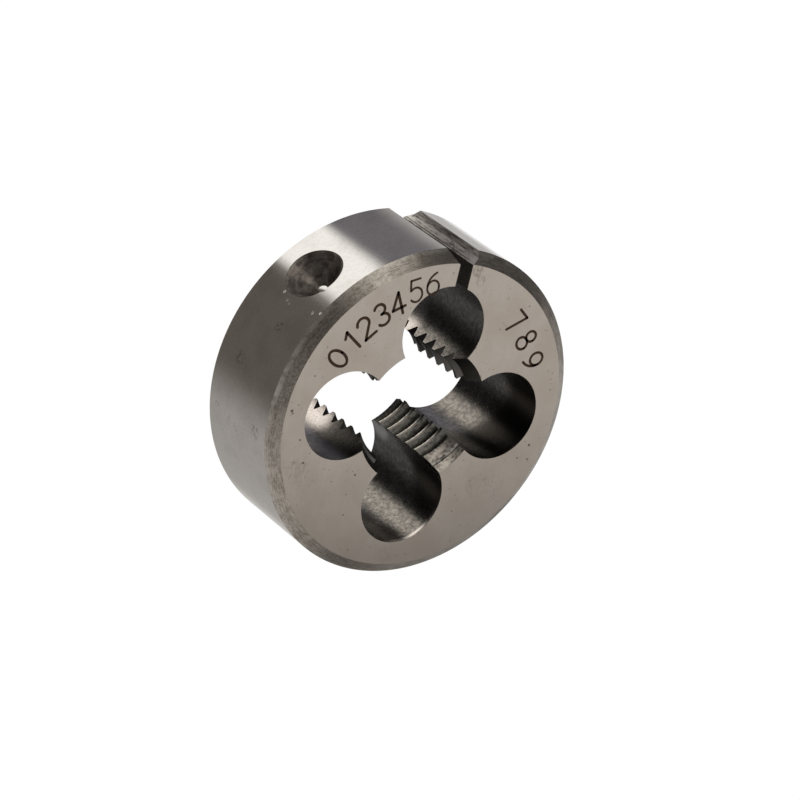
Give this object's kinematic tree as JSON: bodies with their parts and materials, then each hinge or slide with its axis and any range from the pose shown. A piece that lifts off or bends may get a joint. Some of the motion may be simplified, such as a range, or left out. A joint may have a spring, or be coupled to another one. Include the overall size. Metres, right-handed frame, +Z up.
{
  "type": "round threading die",
  "caption": "Split round die for cutting a metric fine external thread: chip holes, threaded lands with lead-in cones, slit with notch, and rim dimples.",
  "frame": {"origin": "centre of the plain face that the die lies on, on the thread axis", "axes": "+Z up the thread axis to the marked face, +Y through the split in the rim"},
  "size_m": [0.0254, 0.0254, 0.0095],
  "materials": {
    "hardened_steel": "ground and turned, satin, dark in the chip holes"
  },
  "bodies": {
    "root": {"die_body": "hardened_steel"}
  },
  "joints": []
}
